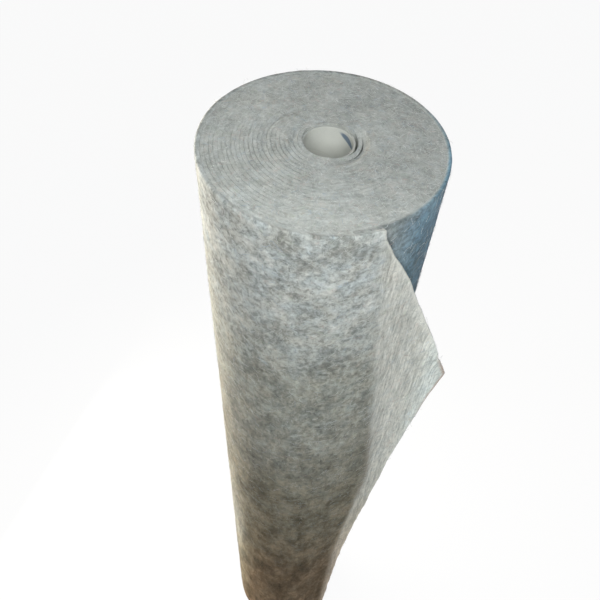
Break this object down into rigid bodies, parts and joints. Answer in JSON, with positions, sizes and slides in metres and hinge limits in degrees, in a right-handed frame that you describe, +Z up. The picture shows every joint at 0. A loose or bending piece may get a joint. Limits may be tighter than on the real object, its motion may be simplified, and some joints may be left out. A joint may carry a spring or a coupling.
{
  "type": "geotextile roll",
  "caption": "Roll of grey needle-punched geotextile felt wound on a paperboard tube, standing on end, with a loose cut end that swings away from the roll.",
  "frame": {"origin": "middle of the footprint, loose end included, on the floor plane; the axis of the outermost turn stands at x = -0.0311, y = 0.0010, and the tube's at x = -0.0272, y = 0.0075", "axes": "+Z up, along the roll's axis; -Y towards the side that the picture shows; +X towards the loose end"},
  "size_m": [0.3196, 0.2576, 1.6],
  "materials": {
    "paperboard": "smooth matt paperboard",
    "tape_film": "satin adhesive tape",
    "grey_felt": "matt needle-punched felt"
  },
  "bodies": {
    "roll": {"core_tube": "paperboard", "start_tape": "tape_film", "wound_felt": "grey_felt"},
    "loose_end": {"free_end": "grey_felt"}
  },
  "joints": [
    {"name": "loose_end_swing", "type": "hinge", "parent": "roll", "child": "loose_end", "pos_m": [0.01332, -0.1212, 0.8], "axis": [0, 0, -1], "range_deg": [0, 60]}
  ]
}
